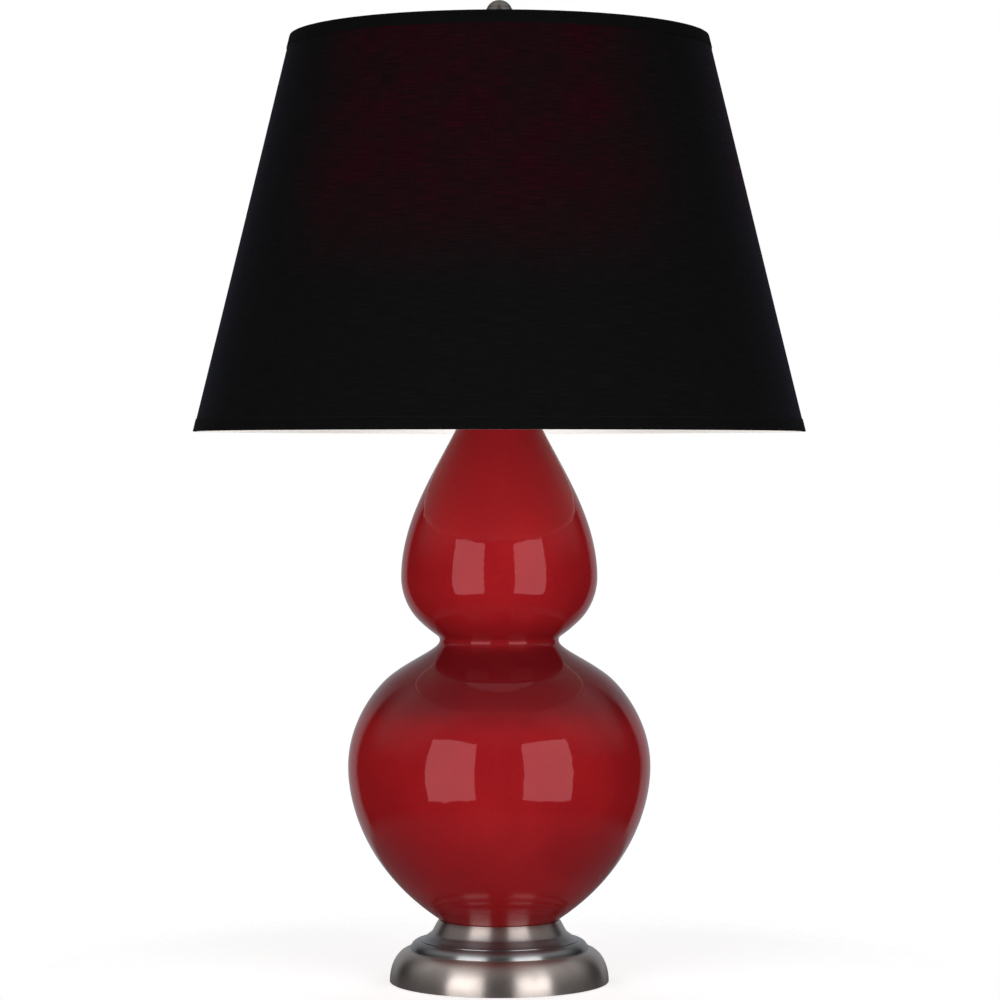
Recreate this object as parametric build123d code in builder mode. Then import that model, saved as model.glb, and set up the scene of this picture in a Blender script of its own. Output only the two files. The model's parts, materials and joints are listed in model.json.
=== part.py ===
"""Double gourd table lamp: glazed ceramic body, turned metal base, harp, socket, bulb and tapered drum shade.

The lamp stands on the plane Z = 0 with its axis on +Z, and its switch faces -Y. Sizes are millimetres.
"""

from build123d import *
from math import atan2, cos, degrees, hypot, pi, radians, sin, tan
from typing import NamedTuple
import os

os.makedirs("parts", exist_ok=True)

# ---------------------------------------------------------------- driving sizes
# Clearances
slip_fit = 0.08  # radial, between pieces that turn or slide on each other
rest_gap = 0.2  # between faces of different moving groups that rest on each other
loose_hole = 0.3  # radial, of a hole that a pipe or screw only passes through

# Pipe that ties the lamp together
pipe_radius = 5.0
pipe_bore_radius = 3.5
pipe_tail = 4.0  # of pipe below the nut

# Metal base
base_radius = 87.9
base_wall = 2.5
base_edge_height = 0.4
dome_crown_radius = 71.3
dome_crown_height = 26.3
collar_radius = 63.5
collar_height = 33.2
collar_step = 0.5
cove_foot_radius = 55.1
cove_foot_height = 38.7
seat_height = 45.0
seat_plate = 2.2
cavity_neck_radius = 45.0
cavity_neck_height = 36.0
lip_rise = 3.7  # of the lip above the ceramic foot
lip_width = 0.5
cup_clearance = 0.3

plate_thickness = 2.0
plate_clearance = 0.4
felt_thickness = 2.0
felt_inset = 1.0  # of the felt's edge inside the plate's
weight_thickness = 18.0
weight_clearance = 0.5
washer_radius = 10.0
washer_thickness = 1.6
nut_across_flats = 15.0
nut_thickness = 6.0

# Cord inlet at the back of the base
inlet_height = 10.5
inlet_bore_radius = 3.5
bushing_radius = 5.0
bushing_head_radius = 6.5
bushing_head_proud = 1.0
bushing_tail = 5.0  # inside the wall

# Ceramic body
gasket_thickness = 1.0
gasket_bore_radius = 20.0
gasket_inset = 1.5
ceramic_wall = 6.0
foot_hole_radius = 14.0
lip_round = 1.2

foot_radius = 41.5
belly_radius, belly_rise = 121.3, 126.6  # each rise is above the point before
shoulder_radius, shoulder_rise = 87.0, 72.8
waist_radius, waist_rise = 47.8, 28.1
under_bulge_radius, under_bulge_rise = 63.9, 15.4
bulge_radius, bulge_rise = 78.8, 35.0
neck_radius, neck_rise = 20.5, 154.1


class Station(NamedTuple):
    """A point of the gourd's outline: its place, the way the outline leans there in degrees, and how far the
    curve keeps that lean below and above it, as a share of the way to the next station."""

    radius: float
    height: float
    lean: float = 90.0
    below: float = 0.0
    above: float = 0.0


foot = Station(foot_radius, 0.0, lean=31.6, above=0.514)
belly = Station(belly_radius, foot.height + belly_rise, below=0.203, above=0.464)
shoulder = Station(shoulder_radius, belly.height + shoulder_rise, lean=142.1, below=0.164, above=0.465)
waist = Station(waist_radius, shoulder.height + waist_rise, below=0.146, above=0.2)
under_bulge = Station(
    under_bulge_radius, waist.height + under_bulge_rise, lean=44.0, below=0.822, above=0.425
)
bulge = Station(bulge_radius, under_bulge.height + bulge_rise, below=0.241, above=0.368)
neck = Station(neck_radius, bulge.height + neck_rise, lean=104.1, below=0.278)
gourd_stations = [foot, belly, shoulder, waist, under_bulge, bulge, neck]

# Cap and spacer on the ceramic neck
cap_wall = 1.5
cap_clearance = 0.8
cap_skirt = 4.5
cap_plug = 4.0
cap_plug_clearance = 0.5
cap_height = 10.0
cap_hub_radius = 9.0
cap_shoulder = 1.2
spacer_radius = 7.0
spacer_bead_radius = 9.0
spacer_length = 12.0

# Harp
saddle_thickness = 2.0
saddle_width = 14.0
saddle_arm_height = 14.0
saddle_bend = 1.2  # inside radius
peg_rise = 12.0
lap_length = 8.0
lap_gap = 0.1
harp_wire_radius = 2.0
harp_foot_offset = 34.0
harp_half_width = 57.0
harp_rise = 242.5  # of the crown's top above the saddle
harp_leg = 48.0  # of straight leg above the saddle
harp_side = 12.0  # of straight wire where the harp is widest
harp_shoulder_radius = 48.0
harp_shoulder_turn = 60.0  # degrees
harp_pad_radius = 6.5
sleeve_wall = 1.1
sleeve_length = 18.0

# Swivel stud on the harp's crown
stud_shaft_radius = 3.3
stud_rivet_radius = 5.2
stud_rivet_thickness = 1.5
stud_flange_radius = 9.0
stud_flange_thickness = 2.0
stud_screw_radius = 3.1
stud_screw_length = 14.0

# Lamp socket
socket_hub_radius = 8.0
socket_hub_height = 7.0
socket_cap_radius = 17.4
socket_cap_wall = 0.8
socket_cap_dome_top = 18.0  # above the saddle
socket_cap_height = 25.0
pipe_in_socket = 8.0
set_screw_radius = 1.6
set_screw_length = 4.6
set_screw_height = 4.0
socket_shell_gap = 0.2
socket_shell_wall = 0.7
socket_shell_start = 16.5  # above the saddle
socket_shell_length = 45.5
socket_bead = 0.8
liner_gap = 0.1
liner_wall = 0.8
liner_setback = 0.5  # of its top below the shell's rim
core_clearance = 0.3
core_start = 21.0
core_height = 18.0
core_flat_offset = 11.2
screw_shell_wall = 0.6
screw_shell_length = 21.0
contact_radius = 3.0
contact_height = 2.2
terminal_screw_radius = 2.8
terminal_screw_head = 1.8
terminal_spread = 4.5

# Turn switch
switch_height = 30.0  # of its shaft above the saddle
switch_shaft_radius = 2.0
switch_hole_radius = 3.4
rotor_radius = 5.0
rotor_thickness = 5.0
rotor_clearance = 0.5
switch_reach = 27.0  # of the shaft in front of the lamp's axis
knob_radius = 5.4
knob_length = 12.0
knob_grip = 7.0
knob_rib_count = 16
knob_rib_radius = 0.55

# Bulb
bulb_tip_radius = 4.4
bulb_tip_height = 1.5
insulator_radius = 9.4
insulator_height = 4.6
insulator_cone_share = 0.6  # of the insulator's height that is its cone
throat_share = 0.7  # of the insulator's height below the cap's throat
bulb_cap_radius = 13.1
bulb_cap_wall = 0.6
bulb_cap_start = 6.5  # above the tip
bulb_cap_length = 19.5
bulb_neck_radius = 12.2
bulb_radius = 30.0
bulb_height = 110.0  # from tip to crown
bulb_wall = 1.0
globe_lean = 30.0  # degrees below the equator, where the round globe ends
glass_in_cap = 9.5
stem_radius = 4.0
stem_length = 46.0
lead_radius = 0.5
lead_spread = 9.0

# Shade
shade_top_radius = 167.8
shade_bottom_radius = 244.6
shade_height = 315.6
shade_rise = 10.0  # of its top edge above the hub's underside
fabric_thickness = 0.8
lining_thickness = 0.6
ring_wire_radius = 1.5
trim_thickness = 0.5
trim_depth = 9.5
seam_width = 9.0
seam_thickness = 0.35
hub_radius = 13.0
hub_thickness = 1.6
arm_count = 3
arm_radius = 1.3
arm_weld = 0.4
arm_start_radius = 9.0

# Finial
insert_wall = 1.8
insert_flange_radius = 7.0
insert_flange_thickness = 1.2
insert_headroom = 2.0
finial_height = 38.7
finial_ball_radius = 11.0
finial_stem_radius = 6.8
finial_foot_radius = 8.2
finial_foot_height = 3.0
finial_band = 0.5
finial_band_width = 2.0
finial_groove = 0.35
finial_groove_height = 5.0  # above the ball's centre

# ---------------------------------------------------------------- heights worked out from them
foot_z = seat_height + gasket_thickness
lip_z = foot_z + lip_rise
weight_top_z = seat_height - seat_plate
washer_top_z = weight_top_z - weight_thickness
nut_top_z = washer_top_z - washer_thickness
pipe_bottom_z = nut_top_z - nut_thickness - pipe_tail
gourd_top_z = foot_z + neck.height
cap_top_z = gourd_top_z + cap_height
saddle_z = cap_top_z + spacer_length
saddle_top_z = saddle_z + saddle_thickness
arm_top_z = saddle_z + saddle_arm_height
peg_top_z = arm_top_z + peg_rise
crown_z = saddle_top_z + harp_rise
pad_z = crown_z - 2 * harp_wire_radius
flange_z = crown_z + rest_gap
hub_z = flange_z + stud_flange_thickness + rest_gap
stud_top_z = flange_z + stud_flange_thickness + stud_screw_length
insert_z = hub_z + hub_thickness + rest_gap
finial_top_z = insert_z + finial_height
shade_top_z = hub_z + shade_rise
shade_bottom_z = shade_top_z - shade_height
core_z = saddle_top_z + core_start
core_top_z = core_z + core_height
switch_z = saddle_top_z + switch_height
bulb_tip_z = core_top_z + contact_height + rest_gap
bulb_top_z = bulb_tip_z + bulb_height

pipe_hole_radius = pipe_radius + loose_hole
cup_foot_radius = foot.radius + cup_clearance
cup_lip_radius = cup_foot_radius + lip_rise / tan(radians(foot.lean))
neck_lip_radius = cup_lip_radius + lip_width

front = Plane.XZ  # profiles are drawn with X as radius and Y as height


def upright_plane(angle):
    """The plane for a profile that stands at an angle around the lamp's axis, in radians from +X."""
    return Plane((0, 0, 0), x_dir=(cos(angle), sin(angle), 0), z_dir=(sin(angle), -cos(angle), 0))


def keep(piece, name):
    """Labels a finished piece and writes it."""
    piece.part.label = name
    export_step(piece.part, f"parts/{name}.step")


# ---------------------------------------------------------------- base
def base_outside():
    """The base's outer line, from its bottom edge up to the lip that holds the ceramic foot."""
    dome_rise = dome_crown_height - base_edge_height
    EllipticalCenterArc(
        (dome_crown_radius, base_edge_height), base_radius - dome_crown_radius, dome_rise, arc_size=90
    )
    EllipticalCenterArc(
        (collar_radius, dome_crown_height),
        dome_crown_radius - collar_radius,
        collar_height - dome_crown_height,
        arc_size=90,
    )
    flange_z0 = collar_height + collar_step
    Line((collar_radius, collar_height), (collar_radius, flange_z0))
    flange_run, flange_lift = collar_radius - cove_foot_radius, cove_foot_height - flange_z0
    Bezier(
        (collar_radius, flange_z0),
        (collar_radius - 0.42 * flange_run, flange_z0 + 0.14 * flange_lift),
        (cove_foot_radius + 0.4 * flange_run, cove_foot_height - 0.42 * flange_lift),
        (cove_foot_radius, cove_foot_height),
    )
    cove_run, cove_lift = cove_foot_radius - neck_lip_radius, lip_z - cove_foot_height
    Bezier(
        (cove_foot_radius, cove_foot_height),
        (cove_foot_radius - 0.26 * cove_run, cove_foot_height + 0.1 * cove_lift),
        (neck_lip_radius + 0.37 * cove_run, lip_z - 0.28 * cove_lift),
        (neck_lip_radius, lip_z),
    )


# What lies inside the base's outer line is cut from the bushing's head, so that it seats on the dome.
with BuildPart() as base_envelope:
    with BuildSketch(front):
        with BuildLine():
            base_outside()
            Polyline(
                (neck_lip_radius, lip_z), (0, lip_z), (0, base_edge_height), (base_radius, base_edge_height)
            )
        make_face()
    revolve(axis=Axis.Z)

inlet_plane = Plane((0, 0, inlet_height), x_dir=(-1, 0, 0), z_dir=(0, 1, 0))
inlet_reach = base_radius + bushing_head_proud

with BuildPart() as base_shell:
    with BuildSketch(front):
        with BuildLine():
            base_outside()
            Polyline(
                (neck_lip_radius, lip_z),
                (cup_lip_radius, lip_z),
                (cup_foot_radius, foot_z),
                (cup_foot_radius, seat_height),
                (pipe_hole_radius, seat_height),
                (pipe_hole_radius, weight_top_z),
                (cavity_neck_radius, weight_top_z),
                (cavity_neck_radius, cavity_neck_height),
                (dome_crown_radius, dome_crown_height - base_wall),
            )
            EllipticalCenterArc(
                (dome_crown_radius, base_edge_height),
                base_radius - base_wall - dome_crown_radius,
                dome_crown_height - base_wall - base_edge_height,
                arc_size=90,
            )
            Line((base_radius - base_wall, base_edge_height), (base_radius, base_edge_height))
        make_face()
    revolve(axis=Axis.Z)
    with BuildSketch(inlet_plane.offset(dome_crown_radius)):
        Circle(bushing_radius + slip_fit)
    extrude(amount=inlet_reach - dome_crown_radius, mode=Mode.SUBTRACT)
keep(base_shell, "base_shell")

with BuildPart() as cord_bushing:
    with BuildSketch(inlet_plane.offset(dome_crown_radius)):
        Circle(bushing_head_radius)
    extrude(amount=inlet_reach - dome_crown_radius)
    add(base_envelope.part, mode=Mode.SUBTRACT)
    bushing_back = base_radius - base_wall - bushing_tail
    with BuildSketch(inlet_plane.offset(bushing_back)):
        Circle(bushing_radius)
    extrude(amount=inlet_reach - bushing_back)
    with BuildSketch(inlet_plane.offset(bushing_back)):
        Circle(inlet_bore_radius)
    extrude(amount=inlet_reach - bushing_back, mode=Mode.SUBTRACT)
keep(cord_bushing, "cord_bushing")

plate_radius = base_radius - base_wall - plate_clearance

with BuildPart() as base_felt:
    with BuildSketch(Plane.XY):
        Circle(plate_radius - felt_inset)
    extrude(amount=felt_thickness)
keep(base_felt, "base_felt")

with BuildPart() as base_plate:
    with BuildSketch(Plane.XY.offset(felt_thickness)):
        Circle(plate_radius)
    extrude(amount=plate_thickness)
keep(base_plate, "base_plate")

with BuildPart() as base_weight:
    with BuildSketch(Plane.XY.offset(washer_top_z)):
        Circle(cavity_neck_radius - weight_clearance)
        Circle(pipe_hole_radius, mode=Mode.SUBTRACT)
    extrude(amount=weight_thickness)
keep(base_weight, "base_weight")

with BuildPart() as base_washer:
    with BuildSketch(Plane.XY.offset(nut_top_z)):
        Circle(washer_radius)
        Circle(pipe_hole_radius, mode=Mode.SUBTRACT)
    extrude(amount=washer_thickness)
keep(base_washer, "base_washer")

with BuildPart() as base_nut:
    with BuildSketch(Plane.XY.offset(nut_top_z - nut_thickness)):
        RegularPolygon(nut_across_flats / 2, 6, major_radius=False)
        Circle(pipe_radius, mode=Mode.SUBTRACT)
    extrude(amount=nut_thickness)
keep(base_nut, "base_nut")

with BuildPart() as lamp_pipe:
    with BuildSketch(Plane.XY.offset(pipe_bottom_z)):
        Circle(pipe_radius)
        Circle(pipe_bore_radius, mode=Mode.SUBTRACT)
    extrude(amount=saddle_top_z + pipe_in_socket - pipe_bottom_z)
keep(lamp_pipe, "lamp_pipe")


# ---------------------------------------------------------------- ceramic body
def inset(station, depth):
    """Where a station's point lands when the outline moves in by a wall's depth."""
    lean = radians(station.lean)
    return station.radius - depth * sin(lean), foot_z + station.height + depth * cos(lean)


def gourd_outline(depth=0.0):
    """The gourd's outline as Bezier curves through its stations, moved in by depth."""
    for low, high in zip(gourd_stations, gourd_stations[1:]):
        start, end = inset(low, depth), inset(high, depth)
        chord = hypot(end[0] - start[0], end[1] - start[1])
        rise, fall = radians(low.lean), radians(high.lean)
        up, down = low.above * chord, high.below * chord
        Bezier(
            start,
            (start[0] + up * cos(rise), start[1] + up * sin(rise)),
            (end[0] - down * cos(fall), end[1] - down * sin(fall)),
            end,
        )


with BuildPart() as gourd_body:
    with BuildSketch(front):
        with BuildLine():
            gourd_outline()
            inner_top = inset(neck, ceramic_wall)
            inner_foot = inset(foot, ceramic_wall)
            Polyline((neck.radius, gourd_top_z), (inner_top[0], gourd_top_z), inner_top)
            gourd_outline(ceramic_wall)
            hole_top, hole_foot = (foot_hole_radius, inner_foot[1]), (foot_hole_radius, foot_z)
            Polyline(inner_foot, hole_top, hole_foot, (foot.radius, foot_z))
        make_face()
    revolve(axis=Axis.Z)
    rim = gourd_body.edges().filter_by(GeomType.CIRCLE).group_by(Axis.Z)[-1]
    fillet(rim.sort_by(SortBy.RADIUS)[-1], lip_round)
keep(gourd_body, "gourd_body")

with BuildPart() as foot_gasket:
    with BuildSketch(Plane.XY.offset(seat_height)):
        Circle(foot.radius - gasket_inset)
        Circle(gasket_bore_radius, mode=Mode.SUBTRACT)
    extrude(amount=gasket_thickness)
keep(foot_gasket, "foot_gasket")

with BuildPart() as neck_cap:
    skirt_radius = neck.radius + cap_skirt * tan(radians(neck.lean - 90)) + cap_clearance
    cap_radius = skirt_radius + cap_wall
    plug_radius = inner_top[0] - cap_plug_clearance
    dome_start_z = gourd_top_z + cap_shoulder
    with BuildSketch(front):
        with BuildLine():
            Polyline(
                (cap_hub_radius, cap_top_z),
                (pipe_hole_radius, cap_top_z),
                (pipe_hole_radius, gourd_top_z - cap_plug),
                (plug_radius, gourd_top_z - cap_plug),
                (plug_radius, gourd_top_z),
                (skirt_radius, gourd_top_z),
                (skirt_radius, gourd_top_z - cap_skirt),
                (cap_radius, gourd_top_z - cap_skirt),
                (cap_radius, dome_start_z),
            )
            dome_run, dome_lift = cap_radius - cap_hub_radius, cap_top_z - dome_start_z
            EllipticalCenterArc((cap_hub_radius, dome_start_z), dome_run, dome_lift, arc_size=90)
        make_face()
    revolve(axis=Axis.Z)
keep(neck_cap, "neck_cap")

with BuildPart() as neck_spacer:
    with BuildSketch(front):
        with BuildLine():
            quarter = spacer_length / 4
            Polyline(
                (spacer_radius, cap_top_z + quarter),
                (spacer_radius, cap_top_z),
                (pipe_hole_radius, cap_top_z),
                (pipe_hole_radius, saddle_z),
                (spacer_radius, saddle_z),
                (spacer_radius, saddle_z - quarter),
            )
            ThreePointArc(
                (spacer_radius, saddle_z - quarter),
                (spacer_bead_radius, cap_top_z + 2 * quarter),
                (spacer_radius, cap_top_z + quarter),
            )
        make_face()
    revolve(axis=Axis.Z)
keep(neck_spacer, "neck_spacer")

# ---------------------------------------------------------------- harp
with BuildPart() as harp_saddle:
    arm_outside = harp_foot_offset + saddle_thickness / 2
    arm_inside = harp_foot_offset - saddle_thickness / 2
    with BuildSketch(front) as strip:
        with BuildLine():
            Polyline(
                (-arm_outside, arm_top_z),
                (-arm_outside, saddle_z),
                (arm_outside, saddle_z),
                (arm_outside, arm_top_z),
                (arm_inside, arm_top_z),
                (arm_inside, saddle_top_z),
                (-arm_inside, saddle_top_z),
                (-arm_inside, arm_top_z),
                close=True,
            )
        make_face()
        fillet(strip.vertices().group_by(Axis.Y)[0], saddle_bend + saddle_thickness)
        fillet(strip.vertices().filter_by(lambda v: abs(v.Y - saddle_top_z) < rest_gap), saddle_bend)
    extrude(amount=saddle_width / 2, both=True)
    corners = harp_saddle.edges().filter_by(Axis.X).filter_by(lambda e: e.center().Z > arm_top_z - rest_gap)
    fillet(corners, saddle_width / 4)
    with BuildSketch(Plane.XY.offset(saddle_z)):
        Circle(pipe_hole_radius)
    extrude(amount=saddle_thickness, mode=Mode.SUBTRACT)
    with BuildSketch(Plane.XY.offset(arm_top_z)):
        with Locations((harp_foot_offset, 0), (-harp_foot_offset, 0)):
            Circle(harp_wire_radius)
    extrude(amount=peg_rise)
    # The upper part of each peg is cut to a half round, which laps the harp's leg.
    with BuildSketch(Plane.XY.offset(peg_top_z - lap_length)):
        with Locations((0, lap_gap / 2 - saddle_width / 2)):
            Rectangle(4 * harp_foot_offset, saddle_width)
    extrude(amount=lap_length, mode=Mode.SUBTRACT)
keep(harp_saddle, "harp_saddle")

with BuildPart() as harp_bow:
    leg_start_z = peg_top_z - lap_length + rest_gap
    leg_end_z = saddle_top_z + harp_leg
    crown_line_z = crown_z - harp_wire_radius
    turn = radians(harp_shoulder_turn)
    crown_radius = (harp_half_width - harp_shoulder_radius * (1 - cos(turn))) / cos(turn)
    crown_drop = harp_shoulder_radius * sin(turn) + crown_radius * (1 - sin(turn))
    flare_run = harp_half_width - harp_foot_offset
    flare_rise = crown_line_z - crown_drop - harp_side - leg_end_z
    flare = 2 * atan2(flare_run, flare_rise)
    flare_radius = flare_run / (2 * (1 - cos(flare)))
    with BuildLine(front) as harp_path:
        leg = Line((harp_foot_offset, leg_start_z), (harp_foot_offset, leg_end_z))
        out_bend = JernArc(leg @ 1, leg % 1, flare_radius, -degrees(flare))
        back_bend = JernArc(out_bend @ 1, out_bend % 1, flare_radius, degrees(flare))
        upright = Line(back_bend @ 1, Vector(harp_half_width, 0, crown_line_z - crown_drop))
        shoulder_bend = JernArc(upright @ 1, upright % 1, harp_shoulder_radius, harp_shoulder_turn)
        crown_bend = JernArc(shoulder_bend @ 1, shoulder_bend % 1, crown_radius, 90 - harp_shoulder_turn)
    with BuildSketch(Plane.XY.offset(leg_start_z)):
        with Locations((harp_foot_offset, 0)):
            Circle(harp_wire_radius)
    sweep(path=harp_path.wires()[0])
    mirror(about=Plane.YZ)
    with BuildSketch(Plane.XY.offset(pad_z)):
        Circle(harp_pad_radius)
    extrude(amount=crown_z - pad_z)
    with BuildSketch(Plane.XY.offset(pad_z)):
        Circle(stud_shaft_radius + slip_fit)
    extrude(amount=crown_z - pad_z, mode=Mode.SUBTRACT)
    with BuildSketch(Plane.XY.offset(pad_z)):
        Circle(stud_rivet_radius + loose_hole)
    extrude(amount=-harp_wire_radius, mode=Mode.SUBTRACT)
    # The lower end of each leg is the other half round of the lap.
    with BuildSketch(Plane.XY.offset(leg_start_z)):
        with Locations((0, saddle_width / 2 - lap_gap / 2)):
            Rectangle(4 * harp_foot_offset, saddle_width)
    extrude(amount=peg_top_z + rest_gap - leg_start_z, mode=Mode.SUBTRACT)
keep(harp_bow, "harp_bow")

for side, name in ((-1, "harp_sleeve_left"), (1, "harp_sleeve_right")):
    with BuildPart() as sleeve:
        bore = harp_wire_radius + slip_fit
        with BuildSketch(Plane.XY.offset(arm_top_z + rest_gap)):
            with Locations((side * harp_foot_offset, 0)):
                Circle(bore + sleeve_wall)
                Circle(bore, mode=Mode.SUBTRACT)
        extrude(amount=sleeve_length)
        rims = sleeve.edges().filter_by(GeomType.CIRCLE).filter_by(lambda e: e.radius > bore)
        fillet(rims, sleeve_wall / 3)
    keep(sleeve, name)

with BuildPart() as harp_stud:
    rivet_z = pad_z - rest_gap
    with BuildSketch(front):
        with BuildLine():
            Polyline(
                (0, rivet_z - stud_rivet_thickness),
                (stud_rivet_radius, rivet_z - stud_rivet_thickness),
                (stud_rivet_radius, rivet_z),
                (stud_shaft_radius, rivet_z),
                (stud_shaft_radius, flange_z),
                (stud_flange_radius, flange_z),
                (stud_flange_radius, flange_z + stud_flange_thickness),
                (stud_screw_radius, flange_z + stud_flange_thickness),
                (stud_screw_radius, stud_top_z),
                (0, stud_top_z),
                close=True,
            )
        make_face()
    revolve(axis=Axis.Z)
    chamfer(harp_stud.edges().filter_by(GeomType.CIRCLE).group_by(Axis.Z)[-1], stud_screw_radius / 5)
keep(harp_stud, "harp_stud")

# ---------------------------------------------------------------- socket
shell_radius = socket_cap_radius - socket_cap_wall - socket_shell_gap
shell_inside = shell_radius - socket_shell_wall
liner_radius = shell_inside - liner_gap
core_radius = liner_radius - liner_wall - core_clearance
screw_shell_bore = bulb_cap_radius + slip_fit
shell_z = saddle_top_z + socket_shell_start
shell_top_z = shell_z + socket_shell_length
cap_dome_z = saddle_top_z + socket_cap_dome_top
cap_rim_z = saddle_top_z + socket_cap_height
hub_top_z = saddle_top_z + socket_hub_height
side_plane = Plane((0, 0, saddle_top_z + set_screw_height), x_dir=(0, -1, 0), z_dir=(-1, 0, 0))
switch_plane = Plane((0, 0, switch_z), x_dir=(1, 0, 0), z_dir=(0, -1, 0))

# The slot lets the shell and its liner slide down over the switch's shaft.
with BuildSketch(switch_plane) as switch_slot:
    Circle(switch_hole_radius)
    Rectangle(2 * switch_hole_radius, switch_z - shell_z, align=(Align.CENTER, Align.MAX))


with BuildPart() as socket_cap:
    with BuildSketch(front):
        with BuildLine():
            dome_run, dome_lift = socket_cap_radius - socket_hub_radius, cap_dome_z - hub_top_z
            Polyline(
                (socket_hub_radius, hub_top_z),
                (socket_hub_radius, saddle_top_z),
                (pipe_radius, saddle_top_z),
                (pipe_radius, hub_top_z + socket_cap_wall),
                (socket_hub_radius, hub_top_z + socket_cap_wall),
            )
            EllipticalCenterArc(
                (socket_hub_radius, cap_dome_z),
                dome_run - socket_cap_wall,
                dome_lift - socket_cap_wall,
                start_angle=-90,
                arc_size=90,
            )
            Polyline(
                (socket_cap_radius - socket_cap_wall, cap_dome_z),
                (socket_cap_radius - socket_cap_wall, cap_rim_z),
                (socket_cap_radius, cap_rim_z),
                (socket_cap_radius, cap_dome_z),
            )
            EllipticalCenterArc(
                (socket_hub_radius, cap_dome_z), dome_run, dome_lift, start_angle=-90, arc_size=90
            )
        make_face()
    revolve(axis=Axis.Z)
    with BuildSketch(side_plane.offset(pipe_radius)):
        Circle(set_screw_radius)
    extrude(amount=2 * socket_hub_radius, mode=Mode.SUBTRACT)
keep(socket_cap, "socket_cap")

with BuildPart() as socket_set_screw:
    with BuildSketch(side_plane.offset(pipe_radius + rest_gap)):
        Circle(set_screw_radius)
    extrude(amount=set_screw_length)
    slot_width = set_screw_radius / 3
    with BuildSketch(side_plane.offset(pipe_radius + rest_gap + set_screw_length - 2 * slot_width)):
        Rectangle(4 * set_screw_radius, slot_width)
    extrude(amount=2 * slot_width, mode=Mode.SUBTRACT)
keep(socket_set_screw, "socket_set_screw")

with BuildPart() as socket_shell:
    bead_z = shell_top_z - 3 * socket_bead
    with BuildSketch(front):
        with BuildLine():
            Polyline(
                (shell_radius, bead_z - 2 * socket_bead),
                (shell_radius, shell_z),
                (shell_inside, shell_z),
                (shell_inside, shell_top_z),
                (shell_radius, shell_top_z),
                (shell_radius, bead_z + 2 * socket_bead),
            )
            ThreePointArc(
                (shell_radius, bead_z + 2 * socket_bead),
                (shell_radius + socket_bead, bead_z),
                (shell_radius, bead_z - 2 * socket_bead),
            )
        make_face()
    revolve(axis=Axis.Z)
    extrude(switch_slot.sketch, amount=2 * shell_radius, mode=Mode.SUBTRACT)
keep(socket_shell, "socket_shell")

with BuildPart() as shell_liner:
    with BuildSketch(Plane.XY.offset(shell_z)):
        Circle(liner_radius)
        Circle(liner_radius - liner_wall, mode=Mode.SUBTRACT)
    extrude(amount=socket_shell_length - liner_setback)
    extrude(switch_slot.sketch, amount=2 * shell_radius, mode=Mode.SUBTRACT)
keep(shell_liner, "shell_liner")

with BuildPart() as socket_core:
    with BuildSketch(Plane.XY.offset(core_z)):
        Circle(core_radius)
        Rectangle(2 * core_flat_offset, 2 * core_radius, mode=Mode.INTERSECT)
    extrude(amount=core_height)
    with BuildSketch(switch_plane.offset(-rotor_clearance)):
        Circle(rotor_radius + rotor_clearance)
    extrude(amount=rotor_thickness + 2 * rotor_clearance, mode=Mode.SUBTRACT)
    with BuildSketch(switch_plane):
        Circle(switch_shaft_radius + slip_fit)
    extrude(amount=2 * core_radius, mode=Mode.SUBTRACT)
keep(socket_core, "socket_core")

with BuildPart() as terminal_screws:
    for side in (-1, 1):
        terminal_plane = Plane((0, 0, core_z + terminal_spread), x_dir=(0, side, 0), z_dir=(side, 0, 0))
        with BuildSketch(terminal_plane.offset(core_flat_offset)):
            Circle(terminal_screw_radius)
        extrude(amount=terminal_screw_head)
        slot_width = terminal_screw_radius / 4
        with BuildSketch(terminal_plane.offset(core_flat_offset + terminal_screw_head - slot_width)):
            Rectangle(3 * terminal_screw_radius, slot_width)
        extrude(amount=slot_width, mode=Mode.SUBTRACT)
keep(terminal_screws, "terminal_screws")

with BuildPart() as screw_shell:
    with BuildSketch(Plane.XY.offset(core_top_z)):
        Circle(screw_shell_bore + screw_shell_wall)
        Circle(screw_shell_bore, mode=Mode.SUBTRACT)
    extrude(amount=screw_shell_length)
keep(screw_shell, "screw_shell")

with BuildPart() as centre_contact:
    with BuildSketch(Plane.XY.offset(core_top_z)):
        Circle(contact_radius)
    extrude(amount=contact_height)
    fillet(centre_contact.edges().filter_by(GeomType.CIRCLE).group_by(Axis.Z)[-1], contact_height / 3)
keep(centre_contact, "centre_contact")

with BuildPart() as switch_rotor:
    with BuildSketch(switch_plane):
        Circle(rotor_radius)
        Circle(switch_shaft_radius, mode=Mode.SUBTRACT)
        with PolarLocations(rotor_radius, 4):
            Circle(rotor_radius / 4, mode=Mode.SUBTRACT)
    extrude(amount=rotor_thickness)
keep(switch_rotor, "switch_rotor")

with BuildPart() as switch_shaft:
    with BuildSketch(switch_plane):
        Circle(switch_shaft_radius)
    extrude(amount=switch_reach)
keep(switch_shaft, "switch_shaft")

with BuildPart() as switch_knob:
    knob_start = switch_reach - knob_grip
    with BuildSketch(switch_plane.offset(knob_start)):
        Circle(knob_radius)
        with PolarLocations(knob_radius, knob_rib_count):
            Circle(knob_rib_radius)
    extrude(amount=knob_length)
    with BuildSketch(switch_plane.offset(knob_start)):
        Circle(switch_shaft_radius)
    extrude(amount=knob_grip, mode=Mode.SUBTRACT)
keep(switch_knob, "switch_knob")

# ---------------------------------------------------------------- bulb
insulator_z = bulb_tip_z + bulb_tip_height
bulb_cap_z = bulb_tip_z + bulb_cap_start
bulb_cap_top_z = bulb_cap_z + bulb_cap_length
bulb_centre_z = bulb_top_z - bulb_radius

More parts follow.
